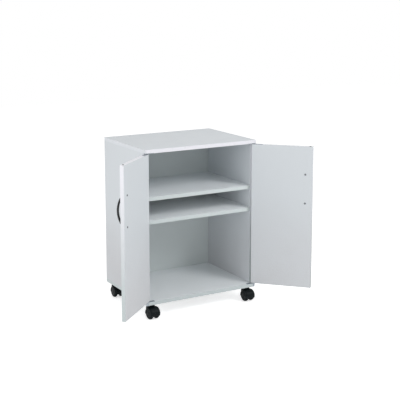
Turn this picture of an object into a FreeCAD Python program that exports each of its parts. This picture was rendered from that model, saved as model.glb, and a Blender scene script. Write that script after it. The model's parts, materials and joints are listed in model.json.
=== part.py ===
"""Utility cart: a board cabinet with two hinged doors on four twin-wheel swivel casters.

Frame: X to the right, Y to the back, Z up, in millimetres. The origin is on the floor,
under the middle of the cabinet. The doors stand open, as they do in use.
"""

import FreeCAD
import Part

import os
import re

import Sketcher

# Driving dimensions, in millimetres and degrees

SIZES = (
    ("cabinet_width", 544, "outside width of the cabinet"),
    ("cabinet_depth", 402, "outside depth of the cabinet with its doors closed"),
    ("carcass_height", 668, "from the underside of the bottom panel to the top"),
    ("board", 16, "thickness of panels, shelves and doors"),
    ("edge_band", 1, "thickness of the plastic edge band"),
    ("overrun", 1, "how far a cutting tool passes a face"),
    # Side panels and back
    ("front_setback", 19, "side panels' front edges behind the top panel's"),
    ("back_board", 3, "thickness of the back panel"),
    ("back_inset", 14, "from the rear edges to the back panel"),
    ("groove_depth", 6, "depth of the grooves that hold the back panel"),
    ("groove_play", 0.1, "clearance round the back panel in its grooves"),
    # Shelves and their supports
    ("lower_shelf_rise", 346, "underside of the lower shelf above the carcass underside"),
    ("upper_shelf_rise", 446, "underside of the upper shelf above the carcass underside"),
    ("shelf_setback", 4, "shelf front behind the side panels' front edges"),
    ("shelf_play", 0.5, "gap at each end and at the back of a shelf"),
    ("support_reach", 8, "length of a shelf support under the shelf"),
    ("support_grip", 8, "length of a shelf support in its slot in the side panel"),
    ("support_width", 12, "width of a shelf support"),
    ("support_thickness", 5, "thickness of a shelf support"),
    ("support_inset", 45, "side panel's front edge or back panel to a support's middle"),
    # Loose tenons that join the sides to the top and bottom
    ("tenon_thickness", 5, "thickness of a tenon"),
    ("tenon_length", 40, "length of a tenon along the joint"),
    ("tenon_depth", 9, "depth of a tenon in each of the two boards"),
    ("tenon_inset", 60, "side panel's front and rear edges to a tenon's middle"),
    # Doors and their pivots
    ("door_gap", 2, "gap above, below and between the doors"),
    ("left_door_opening", 138, "angle at which the left door stands open"),
    ("right_door_opening", 134, "angle at which the right door stands open"),
    ("pivot_from_edge", 7, "pivot axis to the door's hinge edge"),
    ("pivot_from_face", 7, "pivot axis to the door's outer face"),
    ("pivot_radius", 2.5, "radius of a pivot pin"),
    ("pin_end_gap", 0.3, "end of a pivot pin short of the inside of its leaf"),
    ("running_play", 0.05, "radial clearance of a pin or axle in its bore"),
    ("bracket_length", 40, "length of a pivot bracket along the panel"),
    ("bracket_width", 14, "width of a pivot bracket"),
    ("hinge_plate", 1.5, "thickness of brackets and hinge leaves"),
    ("bracket_tab", 10, "width of the lower bracket's tab on the panel's front edge"),
    ("leaf_reach", 40.5, "hinge leaf beyond the pivot axis"),
    ("leaf_tail", 5.5, "hinge leaf behind and in front of the pivot axis"),
    # Handles
    ("handle_spacing", 128, "between the two screws of a handle"),
    ("handle_inset", 32, "handle to the door's free edge"),
    ("handle_rise", 444, "middle of the handle above the door's lower edge"),
    ("handle_projection", 28, "outside of the bow above the door's face"),
    ("handle_middle", 8, "thickness of the bow at its middle"),
    ("handle_foot", 14, "length of a handle's foot on the door"),
    ("handle_width", 11, "width of the bow"),
    # Magnetic catches
    ("catch_inset", 13, "catch to the door's free edge"),
    ("catch_length", 8, "length of the catch's magnet along the door"),
    ("catch_width", 6, "width of the magnet across the door's edge"),
    ("catch_depth", 14, "length of the magnet in the door's top edge"),
    ("catch_stand", 1.3, "height of the magnet above the door's top edge"),
    ("strike_length", 22, "length of the steel strike under the top panel"),
    ("strike_width", 12, "width of the strike"),
    # Casters
    ("caster_side_inset", 32, "swivel axis to the side of the cabinet"),
    ("caster_end_inset", 28, "swivel axis to the front or rear of the cabinet"),
    ("front_left_turn", 4, "rest angle of the front left caster"),
    ("front_right_turn", 2, "rest angle of the front right caster"),
    ("rear_left_turn", -2, "rest angle of the rear left caster"),
    ("rear_right_turn", 5, "rest angle of the rear right caster"),
    ("mount_plate_size", 42, "side of the square mounting plate"),
    ("mount_plate", 2.5, "thickness of the mounting plate"),
    ("swivel_pin_radius", 4, "radius of the swivel pin"),
    ("swivel_pin_reach", 24, "length of the swivel pin below the plate"),
    ("swivel_gap", 0.5, "gap between the plate and the hood's neck"),
    ("swivel_end_gap", 1, "gap below the end of the swivel pin"),
    ("neck_end", 3, "wall below the swivel pin's socket"),
    ("neck_width", 36, "width of the hood's neck across the wheels"),
    ("neck_depth", 24, "depth of the hood's neck along the wheels"),
    ("wheel_radius", 25, "radius of a wheel"),
    ("wheel_trail", 18, "axle behind the swivel axis"),
    ("wheel_outside", 24, "outer face of a wheel from the caster's middle"),
    ("wheel_side_gap", 0.3, "gap between a wheel and the hood's web"),
    ("web_half", 8.3, "half the thickness of the hood's web"),
    ("hood_gap", 0.8, "radial gap between a wheel and the hood"),
    ("hood_wall", 1.7, "wall of the hood over the wheels"),
    ("hood_clearance", 8, "gap between the hood's crown and the mounting plate"),
    ("hood_skirt", 6, "hood's lower edge below the axle, level with the axle"),
    ("hood_rake", 14, "slope of the hood's lower edge"),
    ("axle_radius", 3, "radius of the axle"),
    ("axle_half", 18.5, "half the length of the axle"),
    ("bore_end_gap", 1, "gap between the axle's end and the wheel"),
)

NAMES = re.compile(r"\b(" + "|".join(name for name, value, note in SIZES) + r")\b")
AXES = {
    "X": FreeCAD.Vector(1, 0, 0),
    "Y": FreeCAD.Vector(0, 1, 0),
    "Z": FreeCAD.Vector(0, 0, 1),
}

# Places worked out from the driving dimensions

HALF_WIDTH = "cabinet_width / 2"
HALF_DEPTH = "cabinet_depth / 2"
HOOD_RADIUS = "(wheel_radius + hood_gap + hood_wall)"
POCKET_RADIUS = "(wheel_radius + hood_gap)"
AXLE_DROP = "(" + HOOD_RADIUS + " + hood_clearance + mount_plate)"
PANEL_FLOOR = "(wheel_radius + " + AXLE_DROP + ")"
BOTTOM_TOP = "(" + PANEL_FLOOR + " + board)"
TOP_UNDERSIDE = "(" + PANEL_FLOOR + " + carcass_height - board)"
SIDE_LENGTH = "(carcass_height - 2 * board)"
SIDE_FRONT = "(front_setback - cabinet_depth / 2)"
SIDE_DEPTH = "(cabinet_depth - front_setback)"
BACK_FACE = "(cabinet_depth / 2 - back_inset - back_board)"
BAY_WIDTH = "(cabinet_width - 2 * board)"
DOOR_WIDTH = "((cabinet_width - door_gap) / 2)"
DOOR_HEIGHT = "(carcass_height - 2 * board - 2 * door_gap)"
DOOR_FREE_EDGE = "(" + DOOR_WIDTH + " - pivot_from_edge)"
DOOR_INNER_FACE = "(board - pivot_from_face)"

doc = FreeCAD.newDocument("UtilityCart")
sheet = doc.addObject("Spreadsheet::Sheet", "Sizes")
nodes = []


def fill_sheet():
    """Write every driving dimension to the sheet, with its alias and its meaning."""
    for row, (name, value, note) in enumerate(SIZES, start=1):
        sheet.set("A%d" % row, str(value))
        sheet.setAlias("A%d" % row, name)
        sheet.set("B%d" % row, note)
    doc.recompute()


def link(text):
    """Return an expression in which every size is read from the sheet."""
    return NAMES.sub(r"Sizes.\1", text)


def number(text):
    """Return the present value of an expression."""
    return float(sheet.evalExpression(link(text)))


def bind(item, prop, text):
    """Tie a property to an expression."""
    item.setExpression(prop, link(text))


def bind_place(item, place):
    """Tie the position of an object to three expressions."""
    for axis, text in zip("xyz", place):
        bind(item, "Placement.Base." + axis, text)


# Solids and booleans


def box(name, low, size):
    """A box from its low corner and its size along X, Y and Z."""
    item = doc.addObject("Part::Box", name)
    bind_place(item, low)
    for prop, text in zip(("Length", "Width", "Height"), size):
        bind(item, prop, text)
    return item


def cylinder(name, start, radius, length, axis="Z"):
    """A cylinder from the middle of its first end, along a positive axis."""
    item = doc.addObject("Part::Cylinder", name)
    item.Placement = FreeCAD.Placement(FreeCAD.Vector(), FreeCAD.Rotation(AXES["Z"], AXES[axis]))
    bind_place(item, start)
    bind(item, "Radius", radius)
    bind(item, "Height", length)
    return item


def group(name, items):
    """Separate solids held as one object."""
    item = doc.addObject("Part::Compound", name)
    item.Links = items
    return item


def fuse(name, items):
    """Several solids joined into one."""
    item = doc.addObject("Part::MultiFuse", name)
    item.Shapes = items
    item.Refine = True
    return item


def cut(name, base, tools):
    """A solid with tools cut out of it."""
    item = doc.addObject("Part::Cut", name)
    item.Base = base
    item.Tool = tools[0] if len(tools) == 1 else group(name + "_tools", tools)
    return item


def node(item, label):
    """Publish an object as a sub-part under its own name."""
    item.Label = label
    nodes.append(item)
    return item


def turn_to(item, place, angle):
    """Put an object at a place in the cart, turned about the vertical."""
    item.Placement = FreeCAD.Placement(FreeCAD.Vector(), FreeCAD.Rotation(AXES["Z"], 1))
    bind_place(item, place)
    bind(item, "Placement.Rotation.Angle", angle)
    return item


# Sketches


def add_body(name):
    """An empty PartDesign body."""
    return doc.addObject("PartDesign::Body", name)


def add_sketch(body, name, role):
    """A sketch on one of a body's own origin planes."""
    sketch = body.newObject("Sketcher::SketchObject", name)
    plane = [item for item in body.Origin.OriginFeatures if item.Role == role][0]
    sketch.AttachmentSupport = (plane, "")
    sketch.MapMode = "FlatFace"
    return sketch


def fix_point(sketch, line, end, place):
    """Tie a line's end to two expressions, measured from the sketch's origin."""
    for kind, axis, text in zip(("DistanceX", "DistanceY"), (-2, -1), place):
        if text == "0":
            sketch.addConstraint(Sketcher.Constraint("PointOnObject", line, end, axis))
            continue
        made = sketch.addConstraint(Sketcher.Constraint(kind, -1, 1, line, end, number(text)))
        bind(sketch, "Constraints[%d]" % made, text)


def draw_outline(sketch, points):
    """A closed outline of straight lines through points given as expressions."""
    corners = [FreeCAD.Vector(number(across), number(along), 0) for across, along in points]
    count = len(corners)
    for index in range(count):
        sketch.addGeometry(Part.LineSegment(corners[index], corners[(index + 1) % count]))
    for index in range(count):
        sketch.addConstraint(Sketcher.Constraint("Coincident", index, 2, (index + 1) % count, 1))
    for index, place in enumerate(points):
        fix_point(sketch, index, 1, place)


# Carcass panels


def banded_panel(label, floor, cuts):
    """The top or bottom panel: a board with an edge band all round."""
    outside = box(
        label + "_outside",
        ("-" + HALF_WIDTH, "-" + HALF_DEPTH, floor),
        ("cabinet_width", "cabinet_depth", "board"),
    )
    core_place = ("edge_band - " + HALF_WIDTH, "edge_band - " + HALF_DEPTH, floor)
    core_size = ("cabinet_width - 2 * edge_band", "cabinet_depth - 2 * edge_band", "board")
    core = box(label + "_core", core_place, core_size)
    inside = box(label + "_inside", core_place, core_size)
    node(cut(label + "_board", core, cuts["board"]), label + "_panel")
    node(cut(label + "_band", outside, [inside] + cuts["band"]), label + "_edge_band")


def bracket_box(name, side, floor):
    """The space of a pivot bracket's plate, sunk flush in a panel."""
    low = "-" + HALF_WIDTH if side < 0 else HALF_WIDTH + " - bracket_length"
    return box(name, (low, "-" + HALF_DEPTH, floor), ("bracket_length", "bracket_width", "hinge_plate"))


def tab_box(name, side):
    """The space of a lower bracket's tab, flush in the edge band."""
    low = "-" + HALF_WIDTH if side < 0 else HALF_WIDTH + " - bracket_tab"
    return box(name, (low, "-" + HALF_DEPTH, PANEL_FLOOR), ("bracket_tab", "edge_band", "board"))


def strike_box(name, side):
    """The space of a catch's strike, sunk flush in the top panel's underside."""
    middle = "%d * (door_gap / 2 + catch_inset)" % side
    return box(
        name,
        (
            middle + " - strike_length / 2",
            "board / 2 - " + HALF_DEPTH + " - strike_width / 2",
            TOP_UNDERSIDE,
        ),
        ("strike_length", "strike_width", "hinge_plate"),
    )


def back_groove(name, low, size):
    """A cutter for a groove that holds the back panel, from its X and Z alone."""
    along = BACK_FACE + " - groove_play"
    return box(name, (low[0], along, low[1]), (size[0], "back_board + 2 * groove_play", size[1]))


def tenon_places():
    """Every loose tenon's side of the cart, its middle's Y and whether it is at the top."""
    front = SIDE_FRONT + " + tenon_inset"
    rear = HALF_DEPTH + " - tenon_inset"
    return [(side, along, upper) for side in (-1, 1) for along in (front, rear) for upper in (False, True)]


def tenon(name, place):
    """One loose tenon, half in the side panel and half in the panel that it meets."""
    side, along, upper = place
    joint = TOP_UNDERSIDE if upper else BOTTOM_TOP
    middle = "%d * (%s - board / 2)" % (side, HALF_WIDTH)
    low = (middle + " - tenon_thickness / 2", along + " - tenon_length / 2", joint + " - tenon_depth")
    return box(name, low, ("tenon_thickness", "tenon_length", "2 * tenon_depth"))


def build_top_panel():
    """The top panel, grooved for the back and sunk for brackets and strikes."""
    groove = back_groove(
        "top_groove",
        ("groove_play - " + BAY_WIDTH + " / 2 - groove_depth", TOP_UNDERSIDE + " - overrun"),
        (BAY_WIDTH + " + 2 * groove_depth - 2 * groove_play", "groove_depth + overrun"),
    )
    slots = [tenon("top_slot", place) for place in tenon_places() if place[2]]
    sunk = [bracket_box("top_mortise", side, TOP_UNDERSIDE) for side in (-1, 1)]
    strikes = [strike_box("strike_mortise", side) for side in (-1, 1)]
    band = [bracket_box("top_band_notch", side, TOP_UNDERSIDE) for side in (-1, 1)]
    banded_panel("top", TOP_UNDERSIDE, {"board": [groove] + slots + sunk + strikes, "band": band})


def build_bottom_panel():
    """The bottom panel, grooved for the back and sunk for the lower brackets."""
    groove = back_groove(
        "bottom_groove",
        ("groove_play - " + BAY_WIDTH + " / 2 - groove_depth", BOTTOM_TOP + " - groove_depth"),
        (BAY_WIDTH + " + 2 * groove_depth - 2 * groove_play", "groove_depth + overrun"),
    )
    slots = [tenon("bottom_slot", place) for place in tenon_places() if not place[2]]
    plate_floor = BOTTOM_TOP + " - hinge_plate"
    sunk = [bracket_box("bottom_mortise", side, plate_floor) for side in (-1, 1)]
    band = [bracket_box("bottom_band_notch", side, plate_floor) for side in (-1, 1)]
    band += [tab_box("tab_notch", side) for side in (-1, 1)]
    banded_panel("bottom", PANEL_FLOOR, {"board": [groove] + slots + sunk, "band": band})


def support_places():
    """Every shelf support's side of the cart, its middle's Y and its shelf."""
    front = SIDE_FRONT + " + support_inset"
    rear = BACK_FACE + " - support_inset"
    rises = ("lower_shelf_rise", "upper_shelf_rise")
    return [(side, along, rise) for side in (-1, 1) for along in (front, rear) for rise in rises]


def shelf_support(name, place):
    """One flat shelf support, let into the side panel and standing out under the shelf."""
    side, along, rise = place
    length = "(support_reach + support_grip)"
    start = "%s - board - support_reach" % HALF_WIDTH
    if side < 0:
        start = "-(%s) - %s" % (start, length)
    low = (start, along + " - support_width / 2", PANEL_FLOOR + " + %s - support_thickness" % rise)
    return box(name, low, (length, "support_width", "support_thickness"))


def build_side_panel(label, side):
    """A side panel with its groove and the slots for tenons and shelf supports."""
    low = "-" + HALF_WIDTH if side < 0 else HALF_WIDTH + " - board"
    core = box(
        label + "_core",
        (low, SIDE_FRONT + " + edge_band", BOTTOM_TOP),
        ("board", SIDE_DEPTH + " - edge_band", SIDE_LENGTH),
    )
    inner = HALF_WIDTH + " - board"
    groove_start = inner + " - overrun" if side > 0 else "-(" + inner + ") - groove_depth"
    groove = back_groove(
        label + "_groove",
        (groove_start, BOTTOM_TOP + " - overrun"),
        ("groove_depth + overrun", SIDE_LENGTH + " + 2 * overrun"),
    )
    tenons = [tenon(label + "_tenon_slot", place) for place in tenon_places() if place[0] == side]
    supports = [
        shelf_support(label + "_support_slot", place) for place in support_places() if place[0] == side
    ]
    node(cut(label + "_slotted", core, [groove] + tenons + supports), label + "_panel")


def build_side_bands():
    """The edge bands on the side panels' front edges."""
    bands = []
    for side in (-1, 1):
        low = "-" + HALF_WIDTH if side < 0 else HALF_WIDTH + " - board"
        bands.append(box("side_band", (low, SIDE_FRONT, BOTTOM_TOP), ("board", "edge_band", SIDE_LENGTH)))
    node(group("side_bands", bands), "side_edge_bands")


def build_back_panel():
    """The back panel, held in the grooves of the other four."""
    spread = "2 * (groove_depth - groove_play)"
    back = box(
        "back_board_blank",
        (
            "-" + BAY_WIDTH + " / 2 - groove_depth + groove_play",
            BACK_FACE,
            BOTTOM_TOP + " - groove_depth + groove_play",
        ),
        (BAY_WIDTH + " + " + spread, "back_board", SIDE_LENGTH + " + " + spread),
    )
    node(back, "back_panel")


def shelf_box(name, rise, front, depth):
    """A slab of a shelf, from a Y and a depth."""
    return box(
        name,
        ("shelf_play - " + BAY_WIDTH + " / 2", front, PANEL_FLOOR + " + " + rise),
        (BAY_WIDTH + " - 2 * shelf_play", depth, "board"),
    )


def build_shelves():
    """Two shelves on their supports, each with a front edge band."""
    front = SIDE_FRONT + " + shelf_setback"
    bands = []
    for label, rise in (("lower_shelf", "lower_shelf_rise"), ("upper_shelf", "upper_shelf_rise")):
        depth = BACK_FACE + " - shelf_play - (" + front + ") - edge_band"
        node(shelf_box(label + "_board", rise, front + " + edge_band", depth), label)
        bands.append(shelf_box(label + "_band", rise, front, "edge_band"))
    node(group("shelf_bands", bands), "shelf_edge_bands")
    supports = [shelf_support("support", place) for place in support_places()]
    node(group("supports", supports), "shelf_supports")


def build_tenons():
    """The loose tenons of the carcass's four corner joints."""
    node(group("tenons", [tenon("tenon", place) for place in tenon_places()]), "loose_tenons")


def pivot_across(side):
    """X of a door's pivot axis."""
    return "%d * (%s - pivot_from_edge)" % (side, HALF_WIDTH)


def pivot_pin(name, side, upper):
    """A bracket's pin, which the door's leaf runs on."""
    length = "(door_gap + hinge_plate - pin_end_gap)"
    floor = TOP_UNDERSIDE + " - " + length if upper else BOTTOM_TOP
    place = (pivot_across(side), "pivot_from_face - " + HALF_DEPTH, floor)
    return cylinder(name, place, "pivot_radius", length)


def build_brackets():
    """The fixed pivot brackets; the lower ones wrap round the panel's front edge."""
    upper = []
    lower = []
    for side in (-1, 1):
        upper_plate = bracket_box("upper_plate", side, TOP_UNDERSIDE)
        lower_plate = bracket_box("lower_plate", side, BOTTOM_TOP + " - hinge_plate")
        upper.append(fuse("upper_bracket", [upper_plate, pivot_pin("upper_pin", side, True)]))
        lower_parts = [lower_plate, tab_box("lower_tab", side), pivot_pin("lower_pin", side, False)]
        lower.append(fuse("lower_bracket", lower_parts))
    node(group("upper_brackets", upper), "upper_pivot_brackets")
    node(group("lower_brackets", lower), "lower_pivot_brackets")


def build_strikes():
    """The steel strikes that the door magnets hold to."""
    node(group("strikes", [strike_box("strike", side) for side in (-1, 1)]), "catch_strikes")


# Doors, each built about its pivot axis with its lower edge at height zero


def from_pivot(side, start, length):
    """X of the low end of a stretch that runs from the pivot to the free edge."""
    if side < 0:
        return start
    return "-(%s) - (%s)" % (start, length)


def door_box(name, side, start, length, along, depth, floor, height):
    """A box on a door, from its distances to the pivot axis."""
    return box(name, (from_pivot(side, start, length), along, floor), (length, depth, height))


def place_door(item, side):
    """Hang a piece of a door on its pivots, turned to where the door stands."""
    along = "pivot_from_face - " + HALF_DEPTH
    floor = BOTTOM_TOP + " + door_gap"
    angle = "-left_door_opening" if side < 0 else "right_door_opening"
    return turn_to(item, (pivot_across(side), along, floor), angle)


def leaf_floor(upper):
    """Height of a leaf's lower face above the door's lower edge."""
    return DOOR_HEIGHT + " - hinge_plate" if upper else "0"


def leaf_plate(name, side, upper):
    """A hinge leaf's flat plate, let into the door's end flush with its edge."""
    return door_box(
        name,
        side,
        "-leaf_tail",
        "leaf_tail + leaf_reach",
        "-leaf_tail",
        "leaf_tail + " + DOOR_INNER_FACE,
        leaf_floor(upper),
        "hinge_plate",
    )


def build_leaves(label, side):
    """The upper and lower hinge leaves, each drilled for its pivot pin."""
    leaves = []
    for end, upper in (("lower", False), ("upper", True)):
        name = label + "_" + end + "_leaf"
        plate = leaf_plate(name + "_plate", side, upper)
        place = ("0", "0", leaf_floor(upper))
        hole = cylinder(name + "_hole", place, "pivot_radius + running_play", "hinge_plate")
        leaves.append(cut(name, plate, [hole]))
    node(place_door(group(label + "_leaves", leaves), side), label + "_hinge_leaves")


def handle_across(side):
    """X of a handle's middle line on a door."""
    return "%d * (%s - handle_inset)" % (-side, DOOR_FREE_EDGE)


def catch_block(name, side, height):
    """The catch's magnet, from its foot in the door's top edge."""
    return door_box(
        name,
        side,
        DOOR_FREE_EDGE + " - catch_inset - catch_length / 2",
        "catch_length",
        "board / 2 - pivot_from_face - catch_width / 2",
        "catch_width",
        DOOR_HEIGHT + " - catch_depth",
        height,
    )


def build_door_panel(label, side):
    """A door's board and its edge band, cut for hinges and catch."""
    start = "-pivot_from_edge"
    outside = door_box(
        label + "_outside", side, start, DOOR_WIDTH, "-pivot_from_face", "board", "0", DOOR_HEIGHT
    )
    core_start = start + " + edge_band"
    core_length = DOOR_WIDTH + " - 2 * edge_band"
    core_height = DOOR_HEIGHT + " - 2 * edge_band"
    core_sizes = (core_start, core_length, "-pivot_from_face", "board", "edge_band", core_height)
    core = door_box(label + "_core", side, *core_sizes)
    inside = door_box(label + "_inside", side, *core_sizes)
    board_tools = []
    band_tools = [inside]
    for upper in (False, True):
        for tools in (board_tools, band_tools):
            tools.append(leaf_plate(label + "_leaf_seat", side, upper))
    for tools in (board_tools, band_tools):
        tools.append(catch_block(label + "_catch_hole", side, "catch_depth + overrun"))
    node(place_door(cut(label + "_board", core, board_tools), side), label + "_panel")
    node(place_door(cut(label + "_band", outside, band_tools), side), label + "_edge_band")


def build_catch(label, side):
    """The magnet pressed into a door's top edge."""
    magnet = group(label + "_catch", [catch_block("magnet", side, "catch_depth + catch_stand")])
    node(place_door(magnet, side), label + "_catch_magnet")


def build_handle(label, side):
    """A bow handle: a crescent between two arcs on flat feet."""
    half_outer = "(handle_spacing + handle_foot) / 2"
    half_inner = "(handle_spacing - handle_foot) / 2"
    outer_rise = "handle_projection"
    inner_rise = "(handle_projection - handle_middle)"
    body = add_body(label + "_bow_body")
    sketch = add_sketch(body, label + "_bow_outline", "YZ_Plane")
    bind(sketch, "AttachmentOffset.Base.x", "-pivot_from_face")
    bind(sketch, "AttachmentOffset.Base.y", "handle_rise")
    bind(sketch, "AttachmentOffset.Base.z", handle_across(side))

    corners = {}
    for key, half in (("outer", half_outer), ("inner", half_inner)):
        corners[key] = FreeCAD.Vector(0, number(half), 0)
    tops = {
        "outer": FreeCAD.Vector(-number(outer_rise), 0, 0),
        "inner": FreeCAD.Vector(-number(inner_rise), 0, 0),
    }
    for key in ("outer", "inner"):
        upper = corners[key]
        lower = FreeCAD.Vector(0, -upper.y, 0)
        sketch.addGeometry(Part.Arc(upper, tops[key], lower))
    outer_up, outer_down = corners["outer"], FreeCAD.Vector(0, -corners["outer"].y, 0)
    inner_up, inner_down = corners["inner"], FreeCAD.Vector(0, -corners["inner"].y, 0)
    sketch.addGeometry(Part.LineSegment(outer_down, inner_down))
    sketch.addGeometry(Part.LineSegment(inner_up, outer_up))
    fix_point(sketch, 2, 1, ("0", "-" + half_outer))
    fix_point(sketch, 2, 2, ("0", "-" + half_inner))
    fix_point(sketch, 3, 1, ("0", half_inner))
    fix_point(sketch, 3, 2, ("0", half_outer))
    for arc, upper_line, lower_line, upper_end, lower_end in ((0, 3, 2, 2, 1), (1, 3, 2, 1, 2)):
        first_high = sketch.getPoint(arc, 1).y > sketch.getPoint(arc, 2).y
        high, low = (1, 2) if first_high else (2, 1)
        sketch.addConstraint(Sketcher.Constraint("Coincident", arc, high, upper_line, upper_end))
        sketch.addConstraint(Sketcher.Constraint("Coincident", arc, low, lower_line, lower_end))
    for arc, half, rise in ((0, half_outer, outer_rise), (1, half_inner, inner_rise)):
        radius = "((%s) * (%s) + %s * %s) / (2 * %s)" % (half, half, rise, rise, rise)
        made = sketch.addConstraint(Sketcher.Constraint("Radius", arc, number(radius)))
        bind(sketch, "Constraints[%d]" % made, radius)

    pad = body.newObject("PartDesign::Pad", label + "_bow")
    pad.Profile = sketch
    pad.Midplane = True
    bind(pad, "Length", "handle_width")
    sketch.Visibility = False
    node(place_door(body, side), label + "_handle")


def build_door(label, side):
    """Every piece of one door."""
    build_door_panel(label, side)
    build_leaves(label, side)
    build_handle(label, side)
    build_catch(label, side)


# Casters, each built about its swivel axis with the panel's underside at height zero


def place_caster(item, corner):
    """Put a piece of a caster under its corner, turned to where the caster stands."""
    label, side, end = corner
    across = "%d * (%s - caster_side_inset)" % (side, HALF_WIDTH)
    along = "%d * (%s - caster_end_inset)" % (end, HALF_DEPTH)
    return turn_to(item, (across, along, PANEL_FLOOR), label + "_turn")


def mount_plate_piece(corner):
    """A caster's square mounting plate with its swivel pin."""
    plate = box(
        "mount_plate",
        ("-mount_plate_size / 2", "-mount_plate_size / 2", "-mount_plate"),
        ("mount_plate_size", "mount_plate_size", "mount_plate"),
    )
    pin_floor = "-mount_plate - swivel_pin_reach"
    pin = cylinder("swivel_pin", ("0", "0", pin_floor), "swivel_pin_radius", "swivel_pin_reach")
    return place_caster(fuse(corner[0] + "_caster_plate", [plate, pin]), corner)


def build_mount_plates():
    """The four mounting plates under the bottom panel."""
    node(group("mount_plates", [mount_plate_piece(corner) for corner in CORNERS]), "caster_plates")


def axle_bar(name, half, radius):
    """A cylinder along the axle's line, centred on the caster."""
    return cylinder(name, ("-(%s)" % half, "-wheel_trail", "-" + AXLE_DROP), radius, "2 * (%s)" % half, "X")


def build_hood(corner):
    """The moulded hood: shroud, web and neck in one piece."""
    name = corner[0] + "_caster_hood"
    drum = axle_bar(name + "_drum", "wheel_outside", HOOD_RADIUS)
    neck_length = "(swivel_pin_reach + swivel_end_gap + neck_end - swivel_gap)"
    neck_floor = "-mount_plate - swivel_gap - " + neck_length
    neck = box(
        name + "_neck",
        ("-neck_width / 2", "-neck_depth / 2", neck_floor),
        ("neck_width", "neck_depth", neck_length),
    )
    blank = fuse(name + "_blank", [drum, neck])

    pockets = []
    pocket_length = "wheel_outside - web_half + overrun"
    for start in ("web_half", "-wheel_outside - overrun"):
        place = (start, "-wheel_trail", "-" + AXLE_DROP)
        pockets.append(cylinder(name + "_pocket", place, POCKET_RADIUS, pocket_length, "X"))
    hollowed = cut(name + "_hollowed", blank, pockets)

    half = "(" + HOOD_RADIUS + " + wheel_trail)"
    deep = "(2 * " + HOOD_RADIUS + ")"
    below = doc.addObject("Part::Box", name + "_below")
    below.Placement = FreeCAD.Placement(FreeCAD.Vector(), FreeCAD.Rotation(AXES["X"], 1))
    bind(below, "Placement.Rotation.Angle", "hood_rake")
    bind(below, "Placement.Base.x", "-wheel_outside - overrun")
    below_along = "-wheel_trail - %s * cos(hood_rake) + %s * sin(hood_rake)" % (half, deep)
    bind(below, "Placement.Base.y", below_along)
    below_floor = "-%s - hood_skirt - %s * sin(hood_rake) - %s * cos(hood_rake)" % (AXLE_DROP, half, deep)
    bind(below, "Placement.Base.z", below_floor)
    bind(below, "Length", "2 * (wheel_outside + overrun)")
    bind(below, "Width", "2 * " + half)
    bind(below, "Height", deep)

    socket_floor = "-mount_plate - swivel_pin_reach - swivel_end_gap"
    socket_length = "swivel_pin_reach + swivel_end_gap + overrun"
    socket_radius = "swivel_pin_radius + running_play"
    socket = cylinder(name + "_socket", ("0", "0", socket_floor), socket_radius, socket_length)
    bore = axle_bar(name + "_bore", "web_half + overrun", "axle_radius")
    node(place_caster(cut(name + "_moulding", hollowed, [below, socket, bore]), corner), name)


def build_axle(corner):
    """The axle, held in the hood's web."""
    name = corner[0] + "_axle"
    bar = group(name + "_group", [axle_bar(name + "_bar", "axle_half", "axle_radius")])
    node(place_caster(bar, corner), name)


def build_wheel(corner, hand, sign):
    """A wheel turned about the axle, with a blind bore."""
    name = corner[0] + "_" + hand + "_wheel"
    inside = "(web_half + wheel_side_gap)"
    bore = "(axle_radius + running_play)"
    bore_end = "(axle_half + bore_end_gap)"
    outline = (
        (inside, bore),
        (inside, "wheel_radius"),
        ("wheel_outside", "wheel_radius"),
        ("wheel_outside", "0"),
        (bore_end, "0"),
        (bore_end, bore),
    )
    body = add_body(name + "_body")
    sketch = add_sketch(body, name + "_outline", "XZ_Plane")
    bind(sketch, "AttachmentOffset.Base.y", "-" + AXLE_DROP)
    bind(sketch, "AttachmentOffset.Base.z", "wheel_trail")
    draw_outline(sketch, [("%d * (%s)" % (sign, across), out) for across, out in outline])
    turned = body.newObject("PartDesign::Revolution", name + "_turned")
    turned.Profile = sketch
    turned.ReferenceAxis = (sketch, ["H_Axis"])
    turned.Angle = 360
    node(place_caster(body, corner), name)


def build_caster(corner):
    """Every piece of one caster."""
    build_hood(corner)
    build_axle(corner)
    side = corner[1]
    build_wheel(corner, "outer", side)
    build_wheel(corner, "inner", -side)


CORNERS = (
    ("front_left", -1, -1),
    ("front_right", 1, -1),
    ("rear_left", -1, 1),
    ("rear_right", 1, 1),
)


def check_model():
    """Stop if any object failed or any sub-part has no sound shape."""
    for item in doc.Objects:
        if "Invalid" in item.State or "Error" in item.State:
            raise RuntimeError("%s failed: %s" % (item.Label, item.State))
    for item in nodes:
        if item.Shape.isNull() or not item.Shape.isValid() or not item.Shape.Solids:
            raise RuntimeError("%s has no sound shape" % item.Label)


def write_parts():
    """Write each sub-part to its own STEP file."""
    os.makedirs("parts", exist_ok=True)
    for item in nodes:
        item.Shape.exportStep("parts/%s.step" % item.Label)


def main():
    """Build the cart."""
    fill_sheet()
    build_top_panel()
    build_bottom_panel()
    build_side_panel("left_side", -1)
    build_side_panel("right_side", 1)
    build_side_bands()
    build_back_panel()
    build_shelves()
    build_tenons()
    build_brackets()
    build_strikes()
    build_door("left_door", -1)
    build_door("right_door", 1)
    build_mount_plates()
    for corner in CORNERS:
        build_caster(corner)
    doc.recompute()
    check_model()
    write_parts()
    print("%d sub-parts written" % len(nodes))


main()
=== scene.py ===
import json
import logging
import math
from dataclasses import dataclass, field
from enum import Enum
from typing import Optional, Sequence, Union

import bmesh
import bpy
from mathutils import Matrix, Vector


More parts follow.
